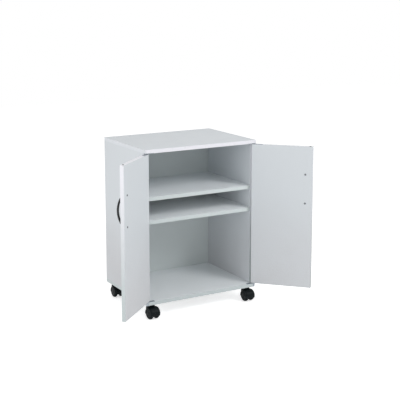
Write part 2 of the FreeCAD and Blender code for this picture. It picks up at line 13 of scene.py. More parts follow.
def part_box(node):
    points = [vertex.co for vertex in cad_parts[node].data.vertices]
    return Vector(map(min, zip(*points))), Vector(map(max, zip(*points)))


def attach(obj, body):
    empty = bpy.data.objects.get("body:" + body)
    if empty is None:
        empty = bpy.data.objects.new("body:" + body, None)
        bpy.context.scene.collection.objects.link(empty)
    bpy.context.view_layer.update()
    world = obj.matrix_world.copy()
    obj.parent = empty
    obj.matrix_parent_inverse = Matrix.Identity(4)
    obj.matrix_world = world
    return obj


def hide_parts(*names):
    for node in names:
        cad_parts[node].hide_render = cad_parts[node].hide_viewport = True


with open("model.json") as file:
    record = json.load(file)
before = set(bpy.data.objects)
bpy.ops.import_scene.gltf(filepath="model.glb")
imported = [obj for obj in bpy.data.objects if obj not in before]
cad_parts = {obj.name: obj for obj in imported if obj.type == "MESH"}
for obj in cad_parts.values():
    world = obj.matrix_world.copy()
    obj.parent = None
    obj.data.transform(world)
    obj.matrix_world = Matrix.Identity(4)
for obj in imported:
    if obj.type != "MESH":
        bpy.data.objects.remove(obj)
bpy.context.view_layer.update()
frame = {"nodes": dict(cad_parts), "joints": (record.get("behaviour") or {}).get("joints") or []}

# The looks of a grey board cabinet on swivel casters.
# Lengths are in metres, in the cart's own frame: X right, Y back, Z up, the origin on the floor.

log = logging.getLogger("cart")

Triple = tuple[float, float, float]
Colour = Triple
Point = tuple[float, float]
Bend = Triple
Amount = Union[float, "Channel"]
Value = Union[Amount, Sequence[float]]
Item = bpy.types.Object

# A Mix node that mixes colours: its properties and the numbers of its sockets.
MIX_SETTINGS = {"data_type": "RGBA", "clamp_factor": True}
MIX_FACTOR, MIX_FIRST, MIX_SECOND, MIX_RESULT = 0, 6, 7, 2


def seen(red: float, green: float, blue: float) -> Colour:
    """Turn a colour as it is seen, from 0 to 255, into a linear one.

    Args:
        red, green, blue: the display values.

    Returns:
        The linear colour, from 0 to 1.
    """
    parts = []
    for value in (red, green, blue):
        share = value / 255
        parts.append(share / 12.92 if share <= 0.04045 else ((share + 0.055) / 1.055) ** 2.4)
    return parts[0], parts[1], parts[2]


def times(colour: Colour, factor: float) -> Colour:
    """Lighten or darken a colour."""
    return colour[0] * factor, colour[1] * factor, colour[2] * factor


# Shader maths


class Channel:
    """An output that varies over a surface, with the sums that can be written on it."""

    def __init__(self, network: "Network", socket: Optional[bpy.types.NodeSocket]) -> None:
        """Wrap a node's output, which is None where the node has none."""
        self.network = network
        self.socket = socket

    def _sum(self, operation: str, first: Amount, second: Amount) -> "Channel":
        """Add a Math node and return its value."""
        return self.network.node("ShaderNodeMath", {"operation": operation}, {0: first, 1: second})

    def __add__(self, other: Amount) -> "Channel":
        """Sum of two amounts."""
        return self._sum("ADD", self, other)

    __radd__ = __add__

    def __sub__(self, other: Amount) -> "Channel":
        """This amount less another."""
        return self._sum("SUBTRACT", self, other)

    def __rsub__(self, other: Amount) -> "Channel":
        """Another amount less this one."""
        return self._sum("SUBTRACT", other, self)

    def __mul__(self, other: Amount) -> "Channel":
        """Product of two amounts."""
        return self._sum("MULTIPLY", self, other)

    __rmul__ = __mul__

    def __or__(self, other: Amount) -> "Channel":
        """The larger of two amounts."""
        return self._sum("MAXIMUM", self, other)

    __ror__ = __or__

    def fade(self, low: float, high: float) -> "Channel":
        """Rise smoothly from 0 at one value to 1 at another, which may be the lower one."""
        inputs = {"Value": self, "From Min": low, "From Max": high}
        return self.network.node("ShaderNodeMapRange", {"interpolation_type": "SMOOTHSTEP"}, inputs)


class Network:
    """The nodes of one material or of the surround."""

    def __init__(self, owner: Union[bpy.types.Material, bpy.types.World]) -> None:
        """Take an owner's node tree.

        Args:
            owner: the material or world that the nodes belong to.
        """
        owner.use_nodes = True
        self.owner = owner
        self.tree = owner.node_tree

    def feed(self, socket: bpy.types.NodeSocket, value: Value) -> None:
        """Link or set one input.

        Args:
            socket: the input.
            value: a channel to link, or a number or colour to set.
        """
        if isinstance(value, Channel):
            self.tree.links.new(value.socket, socket)
        elif socket.type == "RGBA":
            socket.default_value = (*value, 1.0)
        else:
            socket.default_value = value

    def node(self, kind: str, settings: dict, inputs: dict, output: Union[int, str] = 0) -> Channel:
        """Add any node.

        Args:
            kind: the node's type.
            settings: its properties, set before its inputs.
            inputs: values or channels, by the socket's name or number.
            output: the socket that is returned, by name or number.

        Returns:
            The chosen output.
        """
        made = self.tree.nodes.new(kind)
        for name, value in settings.items():
            setattr(made, name, value)
        for key, value in inputs.items():
            self.feed(made.inputs[key], value)
        return Channel(self, made.outputs[output] if made.outputs else None)

    def background_rays(self) -> Channel:
        """1 on the rays that show the background: camera, glossy and transmitted ones."""
        camera, glossy, passed = (
            self.node("ShaderNodeLightPath", {}, {}, "Is %s Ray" % kind)
            for kind in ("Camera", "Glossy", "Transmission")
        )
        return camera | glossy | passed


@dataclass(frozen=True)
class Pattern:
    """A noise: its size, finer layers, fading limits and stretch, and how much it colours and dulls."""

    size: float
    layers: float = 2.0
    limits: Optional[Point] = None
    stretch: Optional[Triple] = None
    share: float = 1.0
    dulling: float = 0.0


class Recipe(Network):
    """The nodes of one finish, laid round its Principled shader."""

    def __init__(self, name: str) -> None:
        """Start a material.

        Args:
            name: the material's name.
        """
        super().__init__(bpy.data.materials.new(name))
        self.shader = next(item for item in self.tree.nodes if item.type == "BSDF_PRINCIPLED")
        self.place = self.node("ShaderNodeTexCoord", {}, {}, "Object")

    def noise(self, pattern: Pattern) -> Channel:
        """Soft noise about one half, or from 0 to 1 where it has limits.

        Args:
            pattern: its sizes.

        Returns:
            The noise.
        """
        place = self.place
        if pattern.stretch:
            scale = {0: place, 1: pattern.stretch}
            place = self.node("ShaderNodeVectorMath", {"operation": "MULTIPLY"}, scale)
        inputs = {"Vector": place, "Scale": 1 / pattern.size, "Detail": pattern.layers}
        noise = self.node("ShaderNodeTexNoise", {}, inputs, "Fac")
        return noise.fade(*pattern.limits) if pattern.limits else noise

    def along(self, axis: str) -> Channel:
        """The place on the surface along X, Y or Z."""
        return self.node("ShaderNodeSeparateXYZ", {}, {0: self.place}, axis)

    def blend(self, factor: Amount, first: Union[Channel, Colour], second: Union[Channel, Colour]) -> Channel:
        """Mix two colours, by how much of the second one shows."""
        inputs = {MIX_FACTOR: factor, MIX_FIRST: first, MIX_SECOND: second}
        return self.node("ShaderNodeMix", MIX_SETTINGS, inputs, MIX_RESULT)

    def paint(self, **sockets: Value) -> None:
        """Set or link the shader's sockets, by socket name with underscores."""
        for key, value in sockets.items():
            self.feed(self.shader.inputs[key.replace("_", " ")], value)


# Finishes

Layers = tuple[Channel, Channel, Channel]

# Plain noise lies mostly between these values.
MIDDLE = (0.3, 0.7)
# GREY_PAINTED_SHADE is painted shade: the laminate's colour near the floor, darker where less light falls.
# LIT_INNER_GREY is painted light: a lighter grey for the inside faces where light falls in from the front.
GREY, GREY_PAINTED_SHADE, LIT_INNER_GREY = seen(216, 221, 225), seen(205, 206, 209), seen(240, 244, 246)
# EDGE and EDGE_PAINTED_SHADE are painted light and shade: the band is painted bright high up and darker near
# the floor.
EDGE, EDGE_PAINTED_SHADE = seen(237, 237, 243), seen(196, 205, 206)


@dataclass(frozen=True)
class Finish:
    """What every finish has: a name, a colour, the record's slot that it dresses, and its skin."""

    name: str
    colour: Colour
    slot: str
    roughness: float = 0.5
    gloss: float = 0.5
    depth: float = 0.00002

    def lay(self, skin: Recipe) -> Layers:
        """Lay out what the finish is made of; each finish says what that is.

        Args:
            skin: the nodes to work with.

        Returns:
            The colour, what is added to the roughness, and the height of the relief.
        """
        raise NotImplementedError(self.name)

    def tinted(self, skin: Recipe, factor: Channel, tints: Point) -> Channel:
        """The finish's colour, from one tint of it to another."""
        return skin.blend(factor, *(times(self.colour, tint) for tint in tints))

    def material(self) -> bpy.types.Material:
        """The finish's material, made once."""
        if self.name not in bpy.data.materials:
            skin = Recipe(self.name)
            colour, dulling, height = self.lay(skin)
            rough = dulling + self.roughness
            skin.paint(Base_Color=colour, Roughness=rough, Specular_IOR_Level=self.gloss)
            relief = {"Height": height, "Distance": self.depth}
            skin.paint(Normal=skin.node("ShaderNodeBump", {}, relief, "Normal"))
        return bpy.data.materials[self.name]


@dataclass(frozen=True)
class Laminate(Finish):
    """Melamine-faced board: a matt, finely pebbled skin, with painted shade that darkens it towards the
    floor.
    """

    slot: str = "grey_laminate"
    roughness: float = 0.46
    gloss: float = 0.42
    depth: float = 0.00003
    painted_shade_colour: Colour = GREY_PAINTED_SHADE
    low: float = 0.08
    high: float = 0.52
    clouds: Pattern = Pattern(0.35, 3.0, share=0.7)
    grain: Pattern = Pattern(0.0044, share=0.3)
    worn_tint: float = 1.02
    worn_share: float = 0.5
    marks: Pattern = Pattern(0.09, 4.0, (0.42, 0.68), dulling=0.07)
    pebble: float = 0.0011
    pebble_softness: float = 0.6

    def lay(self, skin: Recipe) -> Layers:
        """The pebbled skin, its faint clouds and its handling marks."""
        clouds, grain = skin.noise(self.clouds), skin.noise(self.grain)
        shade = (clouds * self.clouds.share + grain * self.grain.share).fade(*MIDDLE)
        # Painted shade: the board's colour darkens towards the floor.
        body = skin.blend(skin.along("Z").fade(self.low, self.high), self.painted_shade_colour, self.colour)
        worn = skin.blend(shade * shade * self.worn_share, body, times(self.colour, self.worn_tint))
        cells = {"Vector": skin.place, "Scale": 1 / self.pebble, "Smoothness": self.pebble_softness}
        pebbles = skin.node("ShaderNodeTexVoronoi", {"feature": "SMOOTH_F1"}, cells, "Distance")
        return worn, skin.noise(self.marks) * self.marks.dulling, pebbles


@dataclass(frozen=True)
class Edging(Finish):
    """Smooth plastic edge band, satin and lightly scuffed, with painted light and shade: bright at the top
    and darker towards the floor.

    Strips that stand further out than a side reach, where it has one, are painted darker: painted shade on
    the band's end strips.
    """

    slot: str = "grey_edging"
    roughness: float = 0.33
    depth: float = 0.00006
    painted_shade_colour: Colour = EDGE_PAINTED_SHADE
    low: float = 0.06
    high: float = 0.72
    side_reach: float = 0.0
    side_blur: float = 0.0002
    side_painted_shade_colour: Colour = seen(222, 226, 231)
    clouds: Pattern = Pattern(0.15, 2.0, (0.35, 0.65), share=0.06)
    scuffs: Pattern = Pattern(0.006, 5.0, (0.60, 0.74), (1.0, 1.0, 0.25), share=0.2)
    scuff_tint: float = 0.85
    ripple: Pattern = Pattern(0.012, 3.0)

    def lay(self, skin: Recipe) -> Layers:
        """The band's skin, with scuffs and a slight ripple."""
        scuffs = skin.noise(self.scuffs) * self.scuffs.share
        upper: Union[Channel, Colour] = self.colour
        # Painted shade: the strips beyond the side reach are painted darker than the band's front.
        if self.side_reach:
            across = skin.along("X")
            outer = (across | 0.0 - across).fade(self.side_reach, self.side_reach + self.side_blur)
            upper = skin.blend(outer, self.colour, self.side_painted_shade_colour)
        # Painted light and shade: bright at the top, darker towards the floor.
        body = skin.blend(skin.along("Z").fade(self.low, self.high), self.painted_shade_colour, upper)
        clean = skin.blend(skin.noise(self.clouds) * self.clouds.share, body, self.painted_shade_colour)
        scuffed = skin.blend(scuffs, clean, times(self.painted_shade_colour, self.scuff_tint))
        return scuffed, scuffs, skin.noise(self.ripple)


@dataclass(frozen=True)
class PaintedBoard(Finish):
    """Thin hardboard with a smooth printed face, and a trace of the fibres below it."""

    slot: str = "back_board"
    gloss: float = 0.4
    fibres: Pattern = Pattern(0.0025, 4.0, share=0.35, dulling=0.1)
    clouds: Pattern = Pattern(0.22, share=0.65)
    tints: Point = (0.97, 1.02)

    def lay(self, skin: Recipe) -> Layers:
        """The printed face."""
        fibres, clouds = skin.noise(self.fibres), skin.noise(self.clouds)
        shade = (fibres * self.fibres.share + clouds * self.clouds.share).fade(*MIDDLE)
        return self.tinted(skin, shade, self.tints), fibres * self.fibres.dulling, fibres


@dataclass(frozen=True)
class BareWood(Finish):
    """Plain wood, with its grain along Y and short dark flecks."""

    slot: str = "beech"
    roughness: float = 0.58
    gloss: float = 0.35
    depth: float = 0.00005
    grain: Pattern = Pattern(0.003, 5.0, stretch=(1.0, 0.08, 1.0), dulling=0.1)
    tints: Point = (0.8, 1.12)
    flecks: Pattern = Pattern(0.0012, 2.0, (0.62, 0.70), (1.0, 0.08, 1.0), share=0.6)
    fleck_tint: float = 0.55
    fleck_sink: float = 0.4

    def lay(self, skin: Recipe) -> Layers:
        """The grain, the flecks and the open pores."""
        grain, flecks = skin.noise(self.grain), skin.noise(self.flecks)
        light = self.tinted(skin, grain.fade(*MIDDLE), self.tints)
        colour = skin.blend(flecks * self.flecks.share, light, times(self.colour, self.fleck_tint))
        return colour, grain * self.grain.dulling, grain - flecks * self.fleck_sink


@dataclass(frozen=True)
class Plated(Finish):
    """Plated steel with fine streaks and dull patches."""

    depth: float = 0.00001
    streaks: Pattern = Pattern(0.0007, 3.0, stretch=(1.0, 0.12, 0.6), share=0.3)
    streak_dulling: float = 0.16
    patches: Pattern = Pattern(0.008, 3.0, (0.4, 0.7), share=0.5, dulling=0.1)
    tints: Point = (1.0, 0.78)

    def lay(self, skin: Recipe) -> Layers:
        """The metal, its streaks and its dull patches."""
        skin.paint(Metallic=1.0)
        streaks, patches = skin.noise(self.streaks), skin.noise(self.patches)
        dull = patches * self.patches.share + streaks * self.streaks.share
        dulling = streaks * self.streak_dulling + patches * self.patches.dulling
        return self.tinted(skin, dull, self.tints), dulling, streaks


@dataclass(frozen=True)
class BlackPlastic(Finish):
    """Black moulded plastic with a spark texture, from polished handle to dusty tread."""

    dust: float = 0.0
    dust_colour: Colour = seen(112, 112, 108)
    dust_height: float = 0.03
    dust_parts: Point = (0.6, 0.4)
    dust_share: float = 0.12
    dust_dulling: float = 0.2
    spark: Pattern = Pattern(0.0006)
    wear: Pattern = Pattern(0.012, 5.0, (0.48, 0.66), share=0.3, dulling=0.1)
    wear_tint: float = 1.4

    def lay(self, skin: Recipe) -> Layers:
        """The moulding with its wear and floor dust."""
        wear, low = skin.noise(self.wear), skin.along("Z").fade(self.dust_height, 0.0)
        dusty = (wear * self.dust_parts[0] + low * self.dust_parts[1]) * self.dust
        worn = skin.blend(wear * self.wear.share, self.colour, times(self.colour, self.wear_tint))
        colour = skin.blend(dusty * self.dust_share, worn, self.dust_colour)
        return colour, wear * self.wear.dulling + dusty * self.dust_dulling, skin.noise(self.spark)


@dataclass(frozen=True)
class PaintedSteel(Finish):
    """Powder-coated sheet steel, with bare metal showing in a few chips."""

    slot: str = "caster_steel"
    roughness: float = 0.42
    gloss: float = 0.3
    peel: Pattern = Pattern(0.0009, dulling=0.1)
    chips: Pattern = Pattern(0.005, 4.0, (0.70, 0.73), share=0.7)
    chip_colour: Colour = seen(150, 150, 152)
    chip_metal: float = 0.9
    chip_sink: float = 0.5

    def lay(self, skin: Recipe) -> Layers:
        """The coat's orange peel and its chips."""
        peel, chips = skin.noise(self.peel), skin.noise(self.chips)
        skin.paint(Metallic=chips * self.chip_metal)
        colour = skin.blend(chips * self.chips.share, self.colour, self.chip_colour)
        return colour, peel * self.peel.dulling, peel - chips * self.chip_sink


@dataclass(frozen=True)
class FrostedPlastic(Finish):
    """Milky clear plastic with flow marks."""

    slot: str = "clear_support"
    roughness: float = 0.24
    depth: float = 0.00003
    milkiness: float = 0.3
    milk_depth: float = 0.002
    flow: Pattern = Pattern(0.003, 3.0, stretch=(0.3, 1.0, 1.0), dulling=0.12)
    tints: Point = (0.94, 1.0)

    def lay(self, skin: Recipe) -> Layers:
        """The milky body and its flow marks."""
        skin.paint(Subsurface_Weight=self.milkiness, Subsurface_Scale=self.milk_depth)
        flow = skin.noise(self.flow)
        return self.tinted(skin, flow, self.tints), flow * self.flow.dulling, flow


LAMINATE = Laminate("pebbled_grey_laminate", GREY)
# Painted light: lighter copies of the laminate for the shelves and the cabinet floor, standing in for light
# that falls in from the front.
LIT_SHELF_LAMINATE = Laminate("pebbled_shelf_laminate", LIT_INNER_GREY, high=0.3)
LIT_FLOOR_LAMINATE = Laminate("pebbled_floor_laminate", LIT_INNER_GREY, painted_shade_colour=seen(236, 240, 242))
EDGING = Edging("satin_grey_edging", EDGE)
# The top band's end strips carry painted shade.
TOP_EDGING = Edging("satin_grey_top_edging", EDGE, side_reach=0.2711)
# Painted shade: a darker copy of the edging for the shelf fronts, which sit in the cabinet's shade.
SHADED_SHELF_EDGING = Edging("satin_grey_shelf_edging", seen(212, 221, 221))
# Painted shade: a darker copy of the edging for the right door's band, whose free edge faces away from the
# light.
SHADED_EDGING = Edging("satin_grey_dull_edging", seen(230, 233, 237), painted_shade_colour=seen(160, 168, 165))
BACK_BOARD = PaintedBoard("printed_grey_board", seen(214, 221, 221))
BEECH = BareWood("plain_beech", seen(205, 176, 138))
SUPPORT = FrostedPlastic("milky_plastic", seen(224, 226, 224))
ZINC = Plated("zinc_plate", seen(160, 167, 174), "hinge_steel", 0.36)
BURNISHED = Plated("burnished_steel", seen(112, 115, 120), "hinge_steel", 0.34, streak_dulling=0.10)
# Painted shade: the nickel plate is given a near-black colour, far darker than plated metal.
SHADED_NICKEL = Plated("nickel_plate", seen(46, 48, 52), "magnet", 0.30, streak_dulling=0.08)
TURNED = Plated("turned_steel", seen(188, 190, 192), "axle_steel", 0.28, streak_dulling=0.22)
POLISHED_BLACK = BlackPlastic(
    "polished_black_plastic", seen(20, 22, 24), "black_plastic", 0.20, 0.34, 0.000004
)
SATIN_BLACK = BlackPlastic(
    "satin_black_nylon", seen(10, 17, 19), "caster_black", 0.42, 0.11, 0.000014, dust=0.2
)
TREAD_BLACK = BlackPlastic("black_tread", seen(13, 20, 22), "caster_black", 0.60, 0.09, 0.00003, dust=0.3)
POWDER_BLACK = PaintedSteel("black_powder_coat", seen(32, 34, 36))


# Meshes

# Degrees above which an edge stays sharp, and the lengths under which points join and edges vanish.
CREASE, JOINED, EMPTY = 35.0, 1e-6, 1e-7
# On CAD nodes: the length under which points join, and the degrees above which edges are rounded.
WELDED, STEEP, ROUND_STEPS = 1e-5, 40.0, 3
BOARD_ROUND, BAND_ROUND, METAL_ROUND = 0.00012, 0.0004, 0.0003
QUARTER = math.pi / 2


def at(across: float, along: float, up: float) -> Matrix:
    """A frame at a place."""
    return Matrix.Translation((across, along, up))


def spun(angle: float, axis: str) -> Matrix:
    """A frame turned about X, Y or Z."""
    return Matrix.Rotation(angle, 4, axis)


def joint_of(body: str) -> dict:
    """The joint that carries a body."""
    return next(item for item in frame["joints"] if item["child"] == body)


def put(name: str, data: bpy.types.ID) -> Item:
    """Make an object of a mesh, a lamp or a camera, in the scene.

    Args:
        name: the object's name.
        data: what it shows.

    Returns:
        The object.
    """
    item = bpy.data.objects.new(name, data)
    bpy.context.scene.collection.objects.link(item)
    return item


@dataclass
class Shape:
    """A mesh in the making: its points, its faces and each face's finish number."""

    points: list[Vector] = field(default_factory=list)
    faces: list[tuple[int, ...]] = field(default_factory=list)
    finishes: list[int] = field(default_factory=list)

    def face(self, corners: Sequence[int], finish: int = 0) -> None:
        """Add a face with a finish number."""
        self.faces.append(tuple(corners))
        self.finishes.append(finish)

    def skin(self, count: int, closed: bool = True, finish_of: Optional[Sequence[int]] = None) -> None:
        """Join the points, which stand in rows, by faces.

        Args:
            count: the number of points in a row.
            closed: whether a row's last point joins its first.
            finish_of: the finish number between each two rows, if not all 0.
        """
        for row in range(len(self.points) // count - 1):
            for step in range(count if closed else count - 1):
                first, second = row * count + step, row * count + (step + 1) % count
                finish = finish_of[row] if finish_of else 0
                self.face((first, second, second + count, first + count), finish)

    def piece(self, name: str, place: Matrix, finishes: Sequence[Finish], sharp: float = CREASE) -> Item:
        """Make an object of the shape, in the cart's frame.

        Args:
            name: the piece's name.
            place: where the shape's own frame lies in the cart's.
            finishes: the finishes that the face numbers stand for.
            sharp: the angle in degrees above which an edge stays sharp.

        Returns:
            The object.
        """
        mesh = bpy.data.meshes.new(name)
        mesh.from_pydata([place @ point for point in self.points], [], self.faces)
        for finish in finishes:
            mesh.materials.append(finish.material())
        mesh.polygons.foreach_set("material_index", self.finishes)
        made = bmesh.new()
        made.from_mesh(mesh)
        bmesh.ops.remove_doubles(made, verts=made.verts, dist=JOINED)
        bmesh.ops.dissolve_degenerate(made, edges=made.edges, dist=EMPTY)
        bmesh.ops.recalc_face_normals(made, faces=made.faces)
        made.to_mesh(mesh)
        made.free()
        smooth(mesh, sharp)
        item = put(name, mesh)
        return item


def smooth(mesh: bpy.types.Mesh, sharp: float) -> None:
    """Shade a mesh smooth, apart from edges above an angle in degrees."""
    mesh.polygons.foreach_set("use_smooth", [True] * len(mesh.polygons))
    mesh.set_sharp_from_angle(angle=math.radians(sharp))


def rounded(corners: Sequence[Bend], steps: int = 6, closed: bool = False) -> list[Point]:
    """Round the corners of an outline.

    Args:
        corners: across, up and the radius of each corner; 0 keeps it sharp.
        steps: the number of points round each corner.
        closed: whether the last corner joins the first.

    Returns:
        The points of the rounded outline.
    """
    outline: list[Point] = []
    for index, (across, up, radius) in enumerate(corners):
        is_end = not closed and index in (0, len(corners) - 1)
        if radius <= 0 or is_end:
            outline.append((across, up))
            continue
        corner = Vector((across, up))
        before = (Vector(corners[index - 1][:2]) - corner).normalized()
        after = (Vector(corners[(index + 1) % len(corners)][:2]) - corner).normalized()
        half = before.angle(after) / 2
        reach = radius / math.tan(half)
        middle = corner + (before + after).normalized() * (radius / math.sin(half))
        start = corner + before * reach - middle
        angle = start.angle_signed(corner + after * reach - middle)
        for step in range(steps + 1):
            turned = start.copy()
            turned.rotate(Matrix.Rotation(-angle * step / steps, 2))
            outline.append(tuple(middle + turned))
    return outline


def arc(middle: Point, radius: float, start: float, end: float, steps: int) -> list[Point]:
    """Points along an arc between two angles, with both ends."""
    angles = [start + (end - start) * step / steps for step in range(steps + 1)]
    return [(middle[0] + radius * math.cos(turn), middle[1] + radius * math.sin(turn)) for turn in angles]


def lathe(outline: Sequence[Point], steps: int, finish_of: Optional[Sequence[int]] = None) -> Shape:
    """Turn an outline about the Z axis.

    Args:
        outline: heights and radii; a radius of 0 is a pole.
        steps: the number of faces round the axis.
        finish_of: each stretch's finish number, if not all 0.

    Returns:
        The turned shape.
    """
    shape = Shape()
    for up, radius in outline:
        shape.points += [Vector((*spot, up)) for spot in arc((0.0, 0.0), radius, 0.0, math.tau, steps)[:-1]]
    shape.skin(steps, finish_of=finish_of)
    return shape


def drum(low: float, high: float, radius: float, steps: int) -> Shape:
    """A cylinder about Z, between two heights."""
    return lathe(((low, 0.0), (low, radius), (high, radius), (high, 0.0)), steps)


def loft(sections: Sequence[Sequence[Vector]]) -> Shape:
    """Skin closed sections, with flat ends.

    Args:
        sections: each section's points, as many in each.

    Returns:
        The skinned shape.
    """
    count, last = len(sections[0]), len(sections) - 1
    shape = Shape([point for section in sections for point in section])
    shape.skin(count)
    shape.face(range(count)[::-1])
    shape.face(range(last * count, last * count + count))
    return shape


def carve(base: Item, tools: Sequence[Item], operation: str = "DIFFERENCE", sharp: float = CREASE) -> Item:
    """Apply booleans to an object and delete the tools, each with its mesh.

    Args:
        base: the object that is kept.
        tools: the objects that cut it or join it.
        operation: DIFFERENCE or UNION.
        sharp: the angle in degrees above which an edge stays sharp.

    Returns:
        The base, with its new mesh.
    """
    for tool in tools:
        step = base.modifiers.new("carve", "BOOLEAN")
        step.object = tool
        step.operation = operation
        step.solver = "EXACT"
    graph = bpy.context.evaluated_depsgraph_get()
    carved = bpy.data.meshes.new_from_object(base.evaluated_get(graph))
    base.modifiers.clear()
    old = base.data
    base.data = carved
    carved.name = base.name
    bpy.data.meshes.remove(old)
    smooth(carved, sharp)
    for tool in tools:
        bpy.data.meshes.remove(tool.data)
    return base


def dress(finish: Finish, edge: float, *nodes: str) -> None:
    """Give CAD nodes their finish and slightly rounded edges.

    Args:
        finish: the finish.
        edge: the radius of the edges.
        nodes: the nodes' names.
    """
    for node in nodes:
        item = frame["nodes"][node]
        for socket in item.material_slots:
            socket.material = finish.material()
        item.modifiers.new("weld", "WELD").merge_threshold = WELDED
        bevel = item.modifiers.new("edges", "BEVEL")
        bevel.width = edge
        bevel.segments = ROUND_STEPS
        bevel.limit_method = "ANGLE"
        bevel.angle_limit = math.radians(STEEP)
        bevel.harden_normals = True
        log.info("%s: %s", node, finish.name)


# Screws


class Drive(Enum):
    """A screw head's rise and hidden depth, and its foot's and its rim's shares of the radius."""

    PAN = (0.0018, 0.0002, 0.9, 0.98)
    FLUSH = (0.0003, 0.0008, 0.7, 0.93)


@dataclass
class Screw:
    """A cross-recessed screw head, upright on the XY plane.

    Apart from what the recess is sunk by, its sizes are shares of the radius or of the rise.
    """

    radius: float
    drive: Drive
    finish: Finish = ZINC
    crown_foot: float = 0.35
    crown_power: float = 0.6
    crown_steps: int = 6
    recess: float = 0.62
    recess_floor: float = 0.1
    recess_sunk: float = 0.0003
    recess_top: float = 1.6
    recess_taper: Point = (0.55, 1.1)
    slot: float = 0.22
    slot_taper: Point = (0.725, 1.0)
    steps: int = 40

    def outline(self) -> list[Point]:
        """The head's profile from its hidden foot to the middle of its crown."""
        rise, depth, foot, rim = self.drive.value
        points = [(-depth, 0.0), (-depth, self.radius * foot)]
        if self.drive is Drive.FLUSH:
            return points + [(0.0, self.radius), (rise, self.radius * rim), (rise, 0.0)]
        points += [(0.0, self.radius * rim), (rise * self.crown_foot, self.radius)]
        for step in range(1, self.crown_steps):
            angle = QUARTER * step / self.crown_steps
            up = self.crown_foot + (1 - self.crown_foot) * math.sin(angle)
            points.append((rise * up, self.radius * math.cos(angle) ** self.crown_power))
        return points + [(rise, 0.0)]

    def arm(self, turn: float) -> Item:
        """One tapered arm of the cross recess, as a cutter.

        Args:
            turn: its direction.

        Returns:
            The cutter.
        """
        rise = self.drive.value[0]
        ends = (rise * self.recess_floor - self.recess_sunk, rise * self.recess_top)
        rings = []
        for up, length_share, width_share in zip(ends, self.recess_taper, self.slot_taper):
            length = self.radius * self.recess * length_share
            width = self.radius * self.slot * width_share / 2
            ring = ((-length, -width), (length, -width), (length, width), (-length, width))
            rings.append([Vector((*corner, up)) for corner in ring])
        return loft(rings).piece("recess_arm", spun(turn, "Z"), [self.finish])

    def heads(self, name: str, places: Sequence[Matrix], body: str) -> None:
        """Make a group of heads as one piece.

        Args:
            name: the piece's name.
            places: where each head stands.
            body: the body that carries them.
        """
        pattern = lathe(self.outline(), self.steps).piece("screw_head", Matrix(), [self.finish])
        carve(pattern, [self.arm(turn) for turn in (0.0, QUARTER)])
        joined = bmesh.new()
        for place in places:
            mesh = pattern.data.copy()
            mesh.transform(place)
            joined.from_mesh(mesh)
            bpy.data.meshes.remove(mesh)
        mesh = bpy.data.meshes.new(name)
        joined.to_mesh(mesh)
        joined.free()
        mesh.materials.append(self.finish.material())
        smooth(mesh, CREASE)
        item = put(name, mesh)
        bpy.data.meshes.remove(pattern.data)
        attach(item, body)
        log.info("%s: %d heads on %s", name, len(places), body)


# Carcass


@dataclass
class Carcass:
    """The fixed cabinet: panels, shelves, back, edge bands and their fittings."""

    strike: float = 0.022
    strike_screw: float = 0.0022
    strike_screw_offset: float = 0.0068
    bracket_screw: float = 0.0028
    bracket_screw_insets: Point = (0.0195, 0.0325)

    def dress_nodes(self) -> None:
        """Give every board, band and fitting its finish."""
        dress(LAMINATE, BOARD_ROUND, "top_panel", "left_side_panel", "right_side_panel")
        # The cabinet floor and the shelves get the lighter copies of the laminate: painted light.
        dress(LIT_FLOOR_LAMINATE, BOARD_ROUND, "bottom_panel")
        dress(LIT_SHELF_LAMINATE, BOARD_ROUND, "lower_shelf", "upper_shelf")
        dress(TOP_EDGING, BAND_ROUND, "top_edge_band")
        dress(EDGING, BAND_ROUND, "bottom_edge_band", "side_edge_bands")
        # The shelf fronts get the darker copy of the edging: painted shade.
        dress(SHADED_SHELF_EDGING, BAND_ROUND, "shelf_edge_bands")
        dress(BACK_BOARD, BOARD_ROUND, "back_panel")
        dress(BEECH, METAL_ROUND, "loose_tenons")
        dress(SUPPORT, METAL_ROUND, "shelf_supports")
        dress(ZINC, METAL_ROUND, "upper_pivot_brackets", "lower_pivot_brackets", "catch_strikes")

    def fit_screws(self) -> None:
        """Screw the brackets and the strikes to the panels."""
        brackets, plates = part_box("upper_pivot_brackets"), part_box("catch_strikes")
        floor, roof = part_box("bottom_panel")[1].z, plates[0].z
        upper, lower, strikes = [], [], []
        for side in (-1, 1):
            along = (brackets[0].y + brackets[1].y) / 2
            for inset in self.bracket_screw_insets:
                across = side * (brackets[1].x - inset)
                upper.append(at(across, along, roof) @ spun(math.pi, "X"))
                lower.append(at(across, along, floor))
            along = (plates[0].y + plates[1].y) / 2
            for offset in (-self.strike_screw_offset, self.strike_screw_offset):
                across = side * (plates[1].x - self.strike / 2) + offset
                strikes.append(at(across, along, roof) @ spun(math.pi, "X"))
        flush = Screw(self.bracket_screw, Drive.FLUSH)
        flush.heads("upper_bracket_screws", upper, "cabinet")
        flush.heads("lower_bracket_screws", lower, "cabinet")
        Screw(self.strike_screw, Drive.FLUSH).heads("strike_screws", strikes, "cabinet")

    def build(self) -> None:
        """Dress the whole carcass."""
        self.dress_nodes()
        self.fit_screws()


# Doors


class Side(Enum):
    """Which door it is: the direction from its pivot to its free edge."""

    LEFT = 1
    RIGHT = -1


